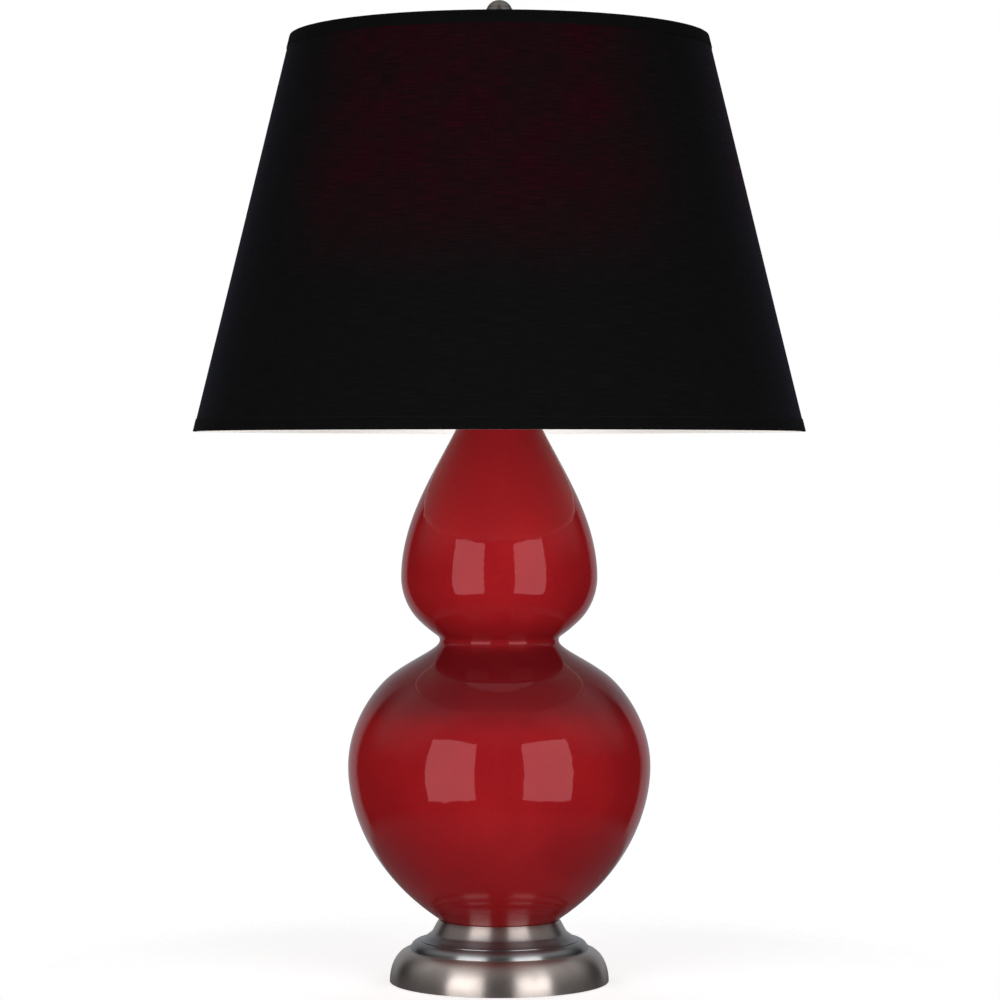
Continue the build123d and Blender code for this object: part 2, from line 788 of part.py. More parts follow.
with BuildPart() as bulb_contact:
    with BuildSketch(Plane.XY.offset(bulb_tip_z)):
        Circle(bulb_tip_radius)
    extrude(amount=bulb_tip_height)
    fillet(bulb_contact.edges().group_by(Axis.Z)[0], bulb_tip_height / 2)
keep(bulb_contact, "bulb_contact")

with BuildPart() as bulb_insulator:
    with BuildSketch(front):
        with BuildLine():
            Polyline(
                (0, insulator_z),
                (bulb_tip_radius, insulator_z),
                (insulator_radius, insulator_z + insulator_cone_share * insulator_height),
                (insulator_radius, insulator_z + insulator_height),
                (0, insulator_z + insulator_height),
                close=True,
            )
        make_face()
    revolve(axis=Axis.Z)
keep(bulb_insulator, "bulb_insulator")

with BuildPart() as bulb_cap:
    throat_radius = insulator_radius + slip_fit
    throat_z = insulator_z + throat_share * insulator_height
    cone_top_z = bulb_cap_z + bulb_cap_radius - throat_radius
    with BuildSketch(front):
        with BuildLine():
            Polyline(
                (throat_radius, throat_z),
                (bulb_cap_radius, cone_top_z),
                (bulb_cap_radius, bulb_cap_top_z),
                (bulb_cap_radius - bulb_cap_wall, bulb_cap_top_z),
                (bulb_cap_radius - bulb_cap_wall, cone_top_z + bulb_cap_wall),
                (throat_radius, throat_z + 2 * bulb_cap_wall),
                close=True,
            )
        make_face()
    revolve(axis=Axis.Z)
keep(bulb_cap, "bulb_cap")


def bulb_outline(depth):
    """Half of the bulb's outline, from the crown down to the cap, moved in by depth."""
    globe, neck_line = bulb_radius - depth, bulb_neck_radius - depth
    lean = radians(globe_lean)
    leave = (globe * cos(lean), bulb_centre_z - globe * sin(lean))
    ThreePointArc((0, bulb_centre_z + globe), (globe, bulb_centre_z), leave)
    reach = (leave[1] - bulb_cap_top_z) / 2
    Bezier(
        leave,
        (leave[0] - reach * sin(lean), leave[1] - reach * cos(lean)),
        (neck_line, bulb_cap_top_z + reach),
        (neck_line, bulb_cap_top_z),
    )
    return neck_line


with BuildPart() as bulb_glass:
    glass_foot_z = bulb_cap_top_z - glass_in_cap
    with BuildSketch(front):
        with BuildLine():
            outer_radius = bulb_outline(0)
            inner_radius = bulb_outline(bulb_wall)
            Polyline(
                (outer_radius, bulb_cap_top_z),
                (outer_radius, glass_foot_z),
                (inner_radius, glass_foot_z),
                (inner_radius, bulb_cap_top_z),
            )
            Line((0, bulb_top_z), (0, bulb_top_z - bulb_wall))
        make_face()
    revolve(axis=Axis.Z)
keep(bulb_glass, "bulb_glass")

with BuildPart() as bulb_stem:
    with BuildSketch(Plane.XY.offset(glass_foot_z)):
        Circle(inner_radius)
    extrude(amount=bulb_wall)
    with BuildSketch(Plane.XY.offset(glass_foot_z + bulb_wall)):
        Circle(stem_radius)
    extrude(amount=stem_length)
keep(bulb_stem, "bulb_stem")

with BuildPart() as bulb_filament:
    stem_top_z = glass_foot_z + bulb_wall + stem_length
    with BuildLine(front) as filament_path:
        FilletPolyline(
            (-stem_radius / 2, stem_top_z),
            (-lead_spread, bulb_centre_z),
            (lead_spread, bulb_centre_z),
            (stem_radius / 2, stem_top_z),
            radius=lead_spread / 4,
        )
    with BuildSketch(Plane(filament_path.line @ 0, z_dir=filament_path.line % 0)):
        Circle(lead_radius)
    sweep(path=filament_path.wires()[0])
keep(bulb_filament, "bulb_filament")

# ---------------------------------------------------------------- shade
taper = (shade_bottom_radius - shade_top_radius) / shade_height
slant = atan2(shade_bottom_radius - shade_top_radius, shade_height)
wall_thickness = fabric_thickness + lining_thickness


def fabric_radius(z):
    """The fabric's outer radius at a height."""
    return shade_bottom_radius - taper * (z - shade_bottom_z)


def wall_point(z, depth):
    """A point at a height, depth inside the fabric's outer face (outside it where negative)."""
    return fabric_radius(z) - depth / cos(slant), z


def wall_band(z_low, z_high, outside, inside):
    """A closed strip of the shade's wall, between two heights and two depths."""
    Polyline(
        wall_point(z_low, outside),
        wall_point(z_high, outside),
        wall_point(z_high, inside),
        wall_point(z_low, inside),
        close=True,
    )


with BuildPart() as shade_fabric:
    with BuildSketch(front):
        with BuildLine():
            wall_band(shade_bottom_z, shade_top_z, 0, fabric_thickness)
        make_face()
    revolve(axis=Axis.Z)
keep(shade_fabric, "shade_fabric")

with BuildPart() as shade_lining:
    with BuildSketch(front):
        with BuildLine():
            wall_band(shade_bottom_z, shade_top_z, fabric_thickness, wall_thickness)
        make_face()
    revolve(axis=Axis.Z)
keep(shade_lining, "shade_lining")

wire_depth = wall_thickness + ring_wire_radius + slip_fit
trim_inside = wall_thickness + 2 * (ring_wire_radius + slip_fit)
wire_inset = ring_wire_radius + slip_fit
top_wire_z = shade_top_z - wire_inset
bottom_wire_z = shade_bottom_z + wire_inset

for edge_z, wire_z, way, ring_name, trim_name in (
    (shade_top_z, top_wire_z, 1, "top_ring", "top_trim"),
    (shade_bottom_z, bottom_wire_z, -1, "bottom_ring", "bottom_trim"),
):
    with BuildPart() as ring:
        with BuildSketch(front):
            with Locations(wall_point(wire_z, wire_depth)):
                Circle(ring_wire_radius)
        revolve(axis=Axis.Z)
    keep(ring, ring_name)

    with BuildPart() as trim:
        with BuildSketch(front):
            with BuildLine():
                Polyline(
                    wall_point(edge_z - way * trim_depth, 0),
                    wall_point(edge_z - way * trim_depth, -trim_thickness),
                    wall_point(edge_z + way * trim_thickness, -trim_thickness),
                    wall_point(edge_z + way * trim_thickness, trim_inside + trim_thickness),
                    wall_point(wire_z, trim_inside + trim_thickness),
                    wall_point(wire_z, trim_inside),
                    wall_point(edge_z, trim_inside),
                    wall_point(edge_z, 0),
                    close=True,
                )
            make_face()
        revolve(axis=Axis.Z)
    keep(trim, trim_name)

with BuildPart() as back_seam:
    seam_angle = 2 * seam_width / (shade_top_radius + shade_bottom_radius)
    seam_start = pi / 2 - seam_angle / 2
    with BuildSketch(upright_plane(seam_start)):
        with BuildLine():
            seam_bottom_z, seam_top_z = shade_bottom_z + trim_depth, shade_top_z - trim_depth
            wall_band(seam_bottom_z + rest_gap, seam_top_z - rest_gap, -seam_thickness, 0)
        make_face()
    revolve(axis=Axis.Z, revolution_arc=degrees(seam_angle))
keep(back_seam, "back_seam")

with BuildPart() as spider_hub:
    with BuildSketch(Plane.XY.offset(hub_z)):
        Circle(hub_radius)
        Circle(stud_screw_radius + loose_hole, mode=Mode.SUBTRACT)
    extrude(amount=hub_thickness)
keep(spider_hub, "spider_hub")

with BuildPart() as spider_arms:
    ring_radius = wall_point(top_wire_z, wire_depth)[0]
    arm_low = (arm_start_radius, hub_z + hub_thickness + arm_radius - arm_weld)
    arm_high = (ring_radius - ring_wire_radius + arm_weld, top_wire_z - arm_radius)
    for turn_angle in (pi / 2 + 2 * pi * index / arm_count for index in range(arm_count)):
        with BuildLine(upright_plane(turn_angle)) as arm_line:
            Line(arm_low, arm_high)
        with BuildSketch(Plane(arm_line.line @ 0, z_dir=arm_line.line % 0)):
            Circle(arm_radius)
        sweep(path=arm_line.line)
keep(spider_arms, "spider_arms")

# ---------------------------------------------------------------- finial
insert_bore = stud_screw_radius + slip_fit
insert_radius = insert_bore + insert_wall
insert_top_z = stud_top_z + insert_headroom
knob_z = insert_z + insert_flange_thickness + rest_gap
ball_z = finial_top_z - finial_ball_radius

with BuildPart() as finial_insert:
    with BuildSketch(Plane.XY.offset(insert_z)):
        Circle(insert_flange_radius)
    extrude(amount=insert_flange_thickness)
    with BuildSketch(Plane.XY.offset(insert_z)):
        Circle(insert_radius)
    extrude(amount=insert_top_z - insert_z)
    with BuildSketch(Plane.XY.offset(insert_z)):
        Circle(insert_bore)
    extrude(amount=insert_top_z - insert_z, mode=Mode.SUBTRACT)
keep(finial_insert, "finial_insert")

with BuildPart() as finial_knob:
    bore_radius, bore_top_z = insert_radius + slip_fit, insert_top_z + rest_gap
    foot_round = finial_foot_radius - finial_stem_radius
    round_z = knob_z + finial_foot_height - foot_round
    groove_radius = (finial_ball_radius**2 - finial_groove_height**2) ** 0.5
    upward = (Align.CENTER, Align.MIN)
    with BuildSketch(front):
        with Locations((0, knob_z)):
            Rectangle(2 * finial_stem_radius, ball_z - knob_z, align=upward)
            Rectangle(2 * finial_foot_radius, finial_foot_height - foot_round, align=upward)
        with Locations((finial_stem_radius, round_z)):
            Circle(foot_round)
        with Locations((0, ball_z)):
            Circle(finial_ball_radius)
            Rectangle(2 * (finial_ball_radius + finial_band), finial_band_width)
        with Locations((groove_radius, ball_z + finial_groove_height)):
            Circle(finial_groove, mode=Mode.SUBTRACT)
        with Locations((0, knob_z)):
            Rectangle(2 * bore_radius, bore_top_z - knob_z, align=upward, mode=Mode.SUBTRACT)
        split(bisect_by=Plane.YZ, keep=Keep.TOP)
    revolve(axis=Axis.Z)
keep(finial_knob, "finial_knob")
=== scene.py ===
"""The double gourd table lamp's looks: red glaze, pewter, brass, cloth shade and bulb, with a plain studio.

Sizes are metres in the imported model's own frame: +Z up, the switch towards -Y, the camera looking along +Y.
"""

import json
from math import cos, hypot, pi, radians, sin

import bpy
import numpy as np
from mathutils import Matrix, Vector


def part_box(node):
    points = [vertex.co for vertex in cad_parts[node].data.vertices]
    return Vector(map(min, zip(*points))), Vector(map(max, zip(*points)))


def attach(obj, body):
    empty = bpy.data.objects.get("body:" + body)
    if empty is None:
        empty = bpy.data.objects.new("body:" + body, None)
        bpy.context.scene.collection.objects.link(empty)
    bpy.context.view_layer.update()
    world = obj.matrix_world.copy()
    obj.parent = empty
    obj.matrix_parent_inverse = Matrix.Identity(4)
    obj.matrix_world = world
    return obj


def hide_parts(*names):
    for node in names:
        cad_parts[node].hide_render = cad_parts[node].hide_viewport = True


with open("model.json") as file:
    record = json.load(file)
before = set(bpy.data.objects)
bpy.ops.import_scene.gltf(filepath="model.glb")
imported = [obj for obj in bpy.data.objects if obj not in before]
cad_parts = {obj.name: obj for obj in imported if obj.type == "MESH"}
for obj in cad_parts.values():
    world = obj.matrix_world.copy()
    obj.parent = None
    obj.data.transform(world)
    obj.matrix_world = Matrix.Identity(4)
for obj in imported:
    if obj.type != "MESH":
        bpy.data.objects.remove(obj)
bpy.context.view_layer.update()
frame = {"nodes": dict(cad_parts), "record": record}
nodes = frame["nodes"]
MM = 0.001


# ---------------------------------------------------------------- shader maths
class Value:
    """A shader value. Arithmetic on it adds Math nodes to its tree."""

    def __init__(self, maker, socket):
        self.maker = maker
        self.socket = socket

    def math(self, operation, *others):
        inputs = dict(enumerate((self, *others)))
        return self.maker.node("ShaderNodeMath", {"operation": operation}, inputs)

    def __add__(self, other):
        return self.math("ADD", other)

    def __sub__(self, other):
        return self.math("SUBTRACT", other)

    def __mul__(self, other):
        return self.math("MULTIPLY", other)

    def __truediv__(self, other):
        return self.math("DIVIDE", other)

    def __rsub__(self, other):
        return self.maker.node("ShaderNodeMath", {"operation": "SUBTRACT"}, {0: other, 1: self})

    __radd__ = __add__
    __rmul__ = __mul__

    def step(self, low, high):
        """0 below low, 1 above high, smooth between them; high may be the lower one."""
        inputs = {"Value": self, "From Min": low, "From Max": high}
        return self.maker.node("ShaderNodeMapRange", {"interpolation_type": "SMOOTHSTEP"}, inputs)

    def band(self, low, full_low, full_high, high):
        """1 from full_low to full_high, fading to 0 at low and at high."""
        return self.step(low, full_low) * self.step(high, full_high)

    def other(self, name):
        """Another output of the same node."""
        return Value(self.maker, self.socket.node.outputs[name])


class Nodes:
    """A node tree in the making, for a finish or for the world."""

    def __init__(self, owner, output):
        owner.use_nodes = True
        self.tree = owner.node_tree
        self.tree.nodes.clear()
        self.output = self.tree.nodes.new(output)

    def node(self, kind, settings=None, inputs=None, output=0):
        """Adds a node, sets it up, feeds its sockets, and gives one of its outputs."""
        made = self.tree.nodes.new(kind)
        for key, value in (settings or {}).items():
            setattr(made, key, value)
        for key, value in (inputs or {}).items():
            self.feed(made.inputs[key], value)
        return Value(self, made.outputs[output])

    def feed(self, socket, value):
        """Links a value to a socket, or sets the socket to a plain number, vector or colour."""
        if isinstance(value, Value):
            self.tree.links.new(value.socket, socket)
        elif socket.type == "RGBA":
            socket.default_value = (*value, 1.0)
        else:
            socket.default_value = value

    def show(self, surface):
        """Sends a shader to the tree's output."""
        self.feed(self.output.inputs["Surface"], surface)

    def colour(self, low, high, factor):
        """The colour low where factor is 0, and high where it is 1."""
        return self.node("ShaderNodeMix", {"data_type": "RGBA"}, {0: factor, 6: low, 7: high}, output=2)


class Finish(Nodes):
    """A material in the making: one Principled shader and what feeds it."""

    def __init__(self, name, **fixed):
        self.material = bpy.data.materials.new(name)
        super().__init__(self.material, "ShaderNodeOutputMaterial")
        self.shader = self.node("ShaderNodeBsdfPrincipled")
        self.drive(**fixed)
        self.show(self.shader)
        self.place = self.node("ShaderNodeTexCoord").other("Object")

    def drive(self, **inputs):
        """Feeds the Principled shader's sockets: base_color stands for the one called Base Color."""
        for key, value in inputs.items():
            name = key.replace("_", " ").title().replace("Ior", "IOR")
            self.feed(self.shader.socket.node.inputs[name], value)

    def bump(self, height, depth, strength):
        """Relief: height from 0 to 1 stands for depth in metres."""
        inputs = {"Height": height, "Distance": depth, "Strength": strength}
        self.drive(normal=self.node("ShaderNodeBump", {}, inputs))

    def stretched(self, x, y, z):
        """The place on the piece, with each axis stretched."""
        return self.node("ShaderNodeVectorMath", {"operation": "MULTIPLY"}, {0: self.place, 1: (x, y, z)})

    def point(self, x, y, z):
        """A place made of three values."""
        return self.node("ShaderNodeCombineXYZ", {}, {0: x, 1: y, 2: z})

    def noise(self, scale, detail, roughness=0.5, at=None):
        """Soft random mottling, scale cells to the metre, at the place on the piece or at another one."""
        inputs = {"Vector": at or self.place, "Scale": scale, "Detail": detail, "Roughness": roughness}
        return self.node("ShaderNodeTexNoise", {}, inputs)

    def axes(self):
        """The place's X, Y and Z as values."""
        split = self.node("ShaderNodeSeparateXYZ", {}, {0: self.place})
        return split, split.other("Y"), split.other("Z")

    def height(self):
        """The height above the table."""
        return self.axes()[2]

    def angle(self):
        """The angle around the lamp's axis, in radians."""
        x, y, _ = self.axes()
        return y.math("ARCTAN2", x)

    def radius(self):
        """The distance from the lamp's axis."""
        x, y, _ = self.axes()
        return (x * x + y * y).math("SQRT")


# ---------------------------------------------------------------- mesh making
def grid(name, points, closed_rows=False):
    """A smooth mesh from an array of points, row by row. Each row closes on itself, and with closed_rows
    the last row joins the first."""
    rows, columns = points.shape[:2]
    index = np.arange(rows * columns).reshape(rows, columns)
    index = np.hstack([index, index[:, :1]])
    if closed_rows:
        index = np.vstack([index, index[:1]])
    corners = [index[:-1, :-1], index[:-1, 1:], index[1:, 1:], index[1:, :-1]]
    faces = np.stack([corner.ravel() for corner in corners], axis=1)
    mesh = bpy.data.meshes.new(name)
    mesh.from_pydata(points.reshape(-1, 3).tolist(), [], faces.tolist())
    mesh.polygons.foreach_set("use_smooth", [True] * len(mesh.polygons))
    piece = bpy.data.objects.new(name, mesh)
    bpy.context.scene.collection.objects.link(piece)
    return piece


def turned(name, outline, segments, relief=None, closed=True):
    """A piece turned around the lamp's axis from an outline of (radius, height) points, in order.
    relief(angle, radius, height) may move the points: it gives the new radius and height."""
    radius, height = np.array(outline, float).T
    angle = np.linspace(0, 2 * pi, segments, endpoint=False)
    around, step = np.meshgrid(angle, np.arange(len(radius)))
    radius, height = radius[step], height[step]
    if relief:
        radius, height = relief(around, radius, height)
    points = np.stack([radius * np.cos(around), radius * np.sin(around), height], axis=2)
    return grid(name, points, closed_rows=closed)


def rounded(points, radius, steps):
    """A closed outline with each corner rounded off by a short arc, which takes less than half of a side."""
    part_of_side = 2.2
    out = []
    for before, corner, after in zip([points[-1], *points[:-1]], points, [*points[1:], points[0]]):
        before, corner, after = (np.array(p, float) for p in (before, corner, after))
        back, ahead = before - corner, after - corner
        cut = min(radius, hypot(*back) / part_of_side, hypot(*ahead) / part_of_side)
        start = corner + cut * back / hypot(*back)
        end = corner + cut * ahead / hypot(*ahead)
        for t in np.linspace(0, 1, steps):
            out.append((1 - t) ** 2 * start + 2 * t * (1 - t) * corner + t**2 * end)
    return out


def evenly(start, end, count):
    """Points on a straight line, without its end."""
    share = np.linspace(0, 1, count, endpoint=False)[:, None]
    return list(np.array(start) * (1 - share) + np.array(end) * share)


def dress(piece, body, material, slot, *replaced):
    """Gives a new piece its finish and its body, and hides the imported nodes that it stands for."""
    piece.data.materials.clear()
    piece.data.materials.append(material)
    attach(piece, body)
    if replaced:
        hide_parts(*replaced)
    return piece


def reach(node, height, within=0.6 * MM):
    """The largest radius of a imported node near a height."""
    places = [v.co for v in nodes[node].data.vertices if abs(v.co.z - height) < within]
    return max(hypot(p.x, p.y) for p in places)


# ---------------------------------------------------------------- the shade's wall
shade_low, shade_high = (corner.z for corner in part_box("shade_fabric"))
radius_low, radius_high = reach("shade_fabric", shade_low), reach("shade_fabric", shade_high)
shade_slant = hypot(radius_low - radius_high, shade_high - shade_low)
cos_slant = (shade_high - shade_low) / shade_slant
cloth_thickness = 0.8 * MM
tape_thickness = 0.5 * MM


def wall(height, depth):
    """A point of the shade's wall at a height, depth outside the cloth's face (inside it where negative)."""
    share = (height - shade_low) / (shade_high - shade_low)
    return np.array([radius_low + (radius_high - radius_low) * share + depth / cos_slant, height])


def shade_cloth_piece():
    """The cloth on its stiff backing: it bows in a little between the two rings, and ripples faintly."""
    rows, segments = 130, 384
    outer_face = evenly(wall(shade_low, 0), wall(shade_high, 0), rows)
    inner_face = evenly(wall(shade_high, -cloth_thickness), wall(shade_low, -cloth_thickness), rows)
    bow, ripple, ripples, lean = 0.15 * MM, 0.07 * MM, 9, 3

    def relief(angle, radius, height):
        share = (height - shade_low) / (shade_high - shade_low)
        arch = np.sin(pi * share)
        wave = ripple * np.sin(ripples * angle + lean * share) * arch
        return radius - bow * arch**0.8 + wave, height

    return turned("shade_cloth", outer_face + inner_face, segments, relief)


def tape_piece(name, edge, way, outer, inner, depth, turned_in):
    """A tape folded round a rim of the shade, from outer to inner, measured outside the cloth's face.
    Its face covers depth of the wall and turned_in is how far it comes back over the wire.
    edge is the rim's height, and way is 1 at the top rim and -1 at the bottom one."""
    outline = [
        wall(edge - way * depth, outer - tape_thickness),
        wall(edge - way * depth, outer),
        wall(edge + way * tape_thickness, outer),
        wall(edge + way * tape_thickness, inner - tape_thickness),
        wall(edge - way * turned_in, inner - tape_thickness),
        wall(edge - way * turned_in, inner),
        wall(edge, inner),
        wall(edge, outer - tape_thickness),
    ]
    corner_radius, corner_steps, segments = 0.45 * MM, 4, 512
    pucker, puckers, unevenness = 0.06 * MM, 46, 5
    face_starts = wall(edge, 0)[0] - 1 * MM

    def relief(angle, radius, height):
        wave = np.sin(puckers * angle + 2 * np.sin(unevenness * angle))
        return radius + pucker * wave * (radius > face_starts), height

    return turned(name, rounded(outline, corner_radius, corner_steps), segments, relief)


def seam_strip():
    """The lap of the cloth at the back of the shade: a strip of it, glued down, with softly rounded edges.
    It stops just short of the tapes and wanders a little on its way up."""
    rows, half_width, thickness = 90, 4.5 * MM, 0.35 * MM
    from_rim, sunk, edge_drop, edge_power = 9.6 * MM, 0.1 * MM, 0.6, 6
    wander, end_share = 0.25 * MM, 0.02
    section = np.linspace(-1, 1, 9)
    points = []
    for height in np.linspace(shade_low + from_rim, shade_high - from_rim, rows):
        over = [(half_width * t, thickness * (1 - edge_drop * abs(t) ** edge_power)) for t in section]
        under = [(half_width * t, -sunk) for t in reversed(section)]
        row = []
        for across, depth in over + under:
            radius, z = wall(height, depth)
            drift = wander * sin(19 * height + 4 * sin(31 * height))
            row.append((-(across + drift), (radius**2 - across**2) ** 0.5, z))
        points.append(row)
    for end in (0, -1):
        middle = np.mean(points[end], axis=0)
        points[end] = [tuple(middle + end_share * (np.array(p) - middle)) for p in points[end]]
    return grid("seam_strip", np.array(points))


def threaded(name, outline, low, high, pitch, depth):
    """A turned piece with a rolled right-hand thread from low to high: it only ever goes inwards.
    The outline's long upright sides are cut into rows for each pitch."""
    rows_per_pitch, segments, bottom_radius = 10, 96, 1.5 * MM
    points = []
    for (radius, height), (next_radius, next_height) in zip(outline, [*outline[1:], outline[0]]):
        count = max(1, int(rows_per_pitch * abs(next_height - height) / pitch))
        points += evenly((radius, height), (next_radius, next_height), count)

    def relief(angle, radius, height):
        run_in, run_out = (height - low) / (0.5 * pitch), (high - height) / (0.5 * pitch)
        run = np.clip(run_in, 0, 1) * np.clip(run_out, 0, 1)
        wave = 0.5 - 0.5 * np.cos(angle - 2 * pi * height / pitch)
        return radius - depth * wave * run * (radius > bottom_radius), height

    return turned(name, points, segments, relief)


# ---------------------------------------------------------------- finishes
# The heights above the table that finishes follow. A band starts, is full, starts to fade and ends.
# The waist and foot bands mark where the glaze is painted darker: painted shade.
waist_shade_band = (0.203, 0.233, 0.258, 0.292)
foot_shade_band = (0.065, 0.100, 0.110, 0.155)
# The neck fade marks where the glaze is painted lighter and pinker: a painted reflection of the lit lining.
neck_reflection_fade = (0.38, 0.44)
base_recess_band = (0.0255, 0.0275, 0.0350, 0.0460)
finial_fade = (0.740, 0.745)
cloth_glow_fade = (0.535, 0.640)
bulb_fade = (0.565, 0.625)


def red_glaze():
    """High-gloss red glaze: fine dark specks and a slow cloud under a clear skin that isn't quite level.
    It is painted darker below the waist and, more faintly, over the foot: painted shade. The neck is painted
    lighter and pinker: a painted reflection of the lit lining."""
    f = Finish("red glaze", roughness=0.05, specular_ior_level=0.3, specular_tint=(1.0, 0.48, 0.52))
    cloud = f.noise(14, 3).step(0.3, 0.7)
    speck = f.noise(1500, 1).step(0.62, 0.72)
    grit = f.noise(420, 3, 0.7).step(0.35, 0.75)
    red = f.colour((0.262, 0.0078, 0.0112), (0.318, 0.0102, 0.0122), cloud)
    red = f.colour(red, (0.235, 0.0060, 0.0088), grit * 0.5)
    red = f.colour(red, (0.19, 0.004, 0.007), speck * 0.35)
    z, ragged = f.height(), 12 * MM
    # Painted shade below the waist and over the foot, with a ragged edge.
    run = z + (f.noise(60, 4, 0.7) - 0.5) * ragged
    painted_shade = run.band(*waist_shade_band).math("MAXIMUM", run.band(*foot_shade_band) * 0.35)
    shaded_red = f.colour((0.130, 0.0056, 0.0086), (0.152, 0.0068, 0.0092), cloud)
    red = f.colour(red, shaded_red, painted_shade)
    # Painted reflection: the neck lighter and pinker.
    f.drive(base_color=f.colour(red, (0.365, 0.0110, 0.0170), z.step(*neck_reflection_fade) * 0.3))
    f.bump(f.noise(35, 2), 0.25 * MM, 0.2)
    return f.material


def pewter():
    """Satin antique pewter, turned: fine rings around the axis, a little tarnish, dark wax left in the
    base's recess, and a darker finial."""
    f = Finish("antique pewter", metallic=1.0, anisotropic=0.9, anisotropic_rotation=0.25)
    z, rings_per_metre = f.height(), 900
    rings = f.noise(1.0, 2, at=f.point((f.radius() + z) * rings_per_metre, 0.0, 0.0))
    tarnish = f.noise(45, 4).step(0.35, 0.75)
    spots = f.noise(600, 2).step(0.66, 0.74)
    metal = f.colour((0.46, 0.408, 0.380), (0.40, 0.352, 0.326), tarnish)
    metal = f.colour(metal, (0.22, 0.235, 0.250), z.band(*base_recess_band) * 0.8)
    metal = f.colour(metal, (0.19, 0.175, 0.165), z.step(*finial_fade) * 0.85)
    f.drive(
        base_color=f.colour(metal, (0.26, 0.24, 0.23), spots * 0.4),
        roughness=0.31 + tarnish * 0.03 + rings * 0.04,
    )
    f.bump(rings, 0.02 * MM, 0.25)
    return f.material


def satin_metal(name, bright, dull, roughness, grain=(1.0, 1.0, 1.0)):
    """Plated or bare metal: drawn grain along its long axis, faint stains and a dull patina in them."""
    f = Finish(name, metallic=1.0)
    fine = f.noise(2200, 2, at=f.stretched(*grain))
    stain = f.noise(110, 4).step(0.42, 0.72)
    spots = f.noise(900, 1).step(0.68, 0.74)
    metal = f.colour(bright, dull, stain * 0.7 + fine * 0.2)
    f.drive(
        base_color=f.colour(metal, [0.6 * c for c in dull], spots * 0.5),
        roughness=roughness + fine * 0.10 + stain * 0.08,
    )
    f.bump(fine, 0.02 * MM, 0.35)
    return f.material


def cast_iron():
    """Sand-cast iron: coarse grain, dark oxide and a bloom of brown rust."""
    f = Finish("cast iron", metallic=0.4)
    grain = f.noise(700, 4, 0.7)
    bloom = f.noise(55, 4, 0.6).step(0.5, 0.68)
    oxide = f.colour((0.035, 0.034, 0.034), (0.085, 0.08, 0.078), grain)
    f.drive(base_color=f.colour(oxide, (0.12, 0.05, 0.025), bloom * 0.6), roughness=0.6 + grain * 0.3)
    f.bump(grain, 0.35 * MM, 0.8)
    return f.material


def moulded(name, colour, roughness, grain=0.25):
    """Moulded plastic, phenolic, glass or rubber: flow marks, a little dust and a fine satin grain."""
    f = Finish(name)
    flow = f.noise(80, 3, at=f.stretched(1, 1, 3)).step(0.3, 0.7)
    fine = f.noise(2400, 2)
    dust = f.noise(1300, 1).step(0.66, 0.75)
    tone = f.colour([0.75 * c for c in colour], [1.5 * c for c in colour], flow)
    f.drive(
        base_color=f.colour(tone, [min(1.0, 3 * c) for c in colour], dust * 0.3),
        roughness=roughness + fine * grain * 0.5,
    )
    f.bump(fine, 0.04 * MM, grain)
    return f.material


def felt():
    """Dense dark green wool felt: matted fibres, lighter hairs and a soft nap."""
    f = Finish("green felt", roughness=0.98, specular_ior_level=0.08, sheen_weight=0.25, sheen_roughness=0.5)
    fibre = f.noise(1.0, 4, 0.7, at=f.stretched(1500, 420, 600))
    crossed = f.noise(1.0, 4, 0.7, at=f.stretched(380, 1400, 600))
    nap = f.noise(70, 4, 0.6)
    hairs = fibre.math("MAXIMUM", crossed).step(0.4, 0.75)
    green = f.colour((0.007, 0.022, 0.014), (0.030, 0.070, 0.048), hairs)
    f.drive(base_color=f.colour(green, (0.018, 0.048, 0.030), nap.step(0.4, 0.7) * 0.6))
    f.bump((fibre + crossed) * 0.4 + nap * 0.3, 0.5 * MM, 0.8)
    return f.material


def card(name, light, dark, gloss, glow=0.0):
    """Pressed card or styrene backing: short fibres, a slight cloud and a faint satin skin.
    glow is painted light: an emission on the card that stands for the bulb's light scattering in it."""
    f = Finish(name, specular_ior_level=gloss)
    fibre = f.noise(1.0, 3, 0.6, at=f.stretched(420, 420, 1300))
    cloud = f.noise(18, 3).step(0.3, 0.7)
    f.drive(
        base_color=f.colour(light, dark, fibre.step(0.35, 0.8) * 0.6 + cloud * 0.4),
        roughness=0.72 + fibre * 0.2,
    )
    # Painted light: the card glows by emission.
    if glow:
        warm_white = f.colour((1.0, 0.98, 0.95), (0.96, 0.92, 0.86), cloud)
        f.drive(emission_color=warm_white, emission_strength=glow)
    f.bump(fibre, 0.05 * MM, 0.4)
    return f.material


def enamel_wire():
    """White-dipped wire: an uneven satin coat with yellowed thin places."""
    f = Finish("white enamel", specular_ior_level=0.4)
    coat = f.noise(240, 3)
    f.drive(
        base_color=f.colour((0.82, 0.81, 0.78), (0.66, 0.62, 0.54), coat.step(0.5, 0.75) * 0.6),
        roughness=0.32 + coat * 0.2,
    )
    f.bump(coat, 0.12 * MM, 0.4)
    return f.material


def weave(f, across, up):
    """Threads of a cloth on the shade's wall: uneven slubs run across it, finer threads run up it."""
    angle, z = f.angle(), f.height()
    along_slub, along_warp, apart = 10, 60, 3.0
    slub = f.noise(1.0, 3, 0.6, at=f.point(angle * along_slub, z * across, 0.0))
    warp = f.noise(1.0, 2, 0.5, at=f.point(angle * up, z * along_warp, apart))
    return slub, warp


